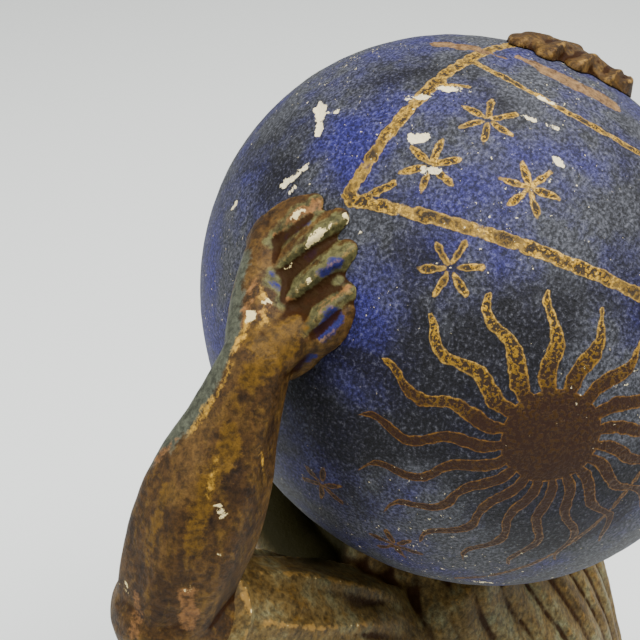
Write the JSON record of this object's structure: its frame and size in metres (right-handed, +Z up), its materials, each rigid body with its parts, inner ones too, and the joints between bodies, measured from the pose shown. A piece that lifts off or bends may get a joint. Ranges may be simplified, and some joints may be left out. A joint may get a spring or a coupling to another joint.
{
  "type": "atlas statue",
  "caption": "Carved and painted wooden Atlas kneeling on a low moulded base, holding a blue celestial globe with gilded stars and a sun on his shoulders.",
  "frame": {"origin": "Middle of the plinth's flat underside.", "axes": "+Z is up. The figure faces -Y. The figure's left side is +X."},
  "size_m": [0.3296, 0.316, 0.582],
  "materials": {
    "figure_wood": "carved wood with worn gilding, brown varnish and green paint over gesso",
    "globe_paint": "turned wood painted ultramarine blue with gilded bands, stars and a sun, worn and chipped",
    "base_wood": "moulded wood, dark brown paint with a worn gilded edge"
  },
  "bodies": {
    "root": {"figure": "figure_wood", "globe": "globe_paint", "base": "base_wood"}
  },
  "joints": []
}
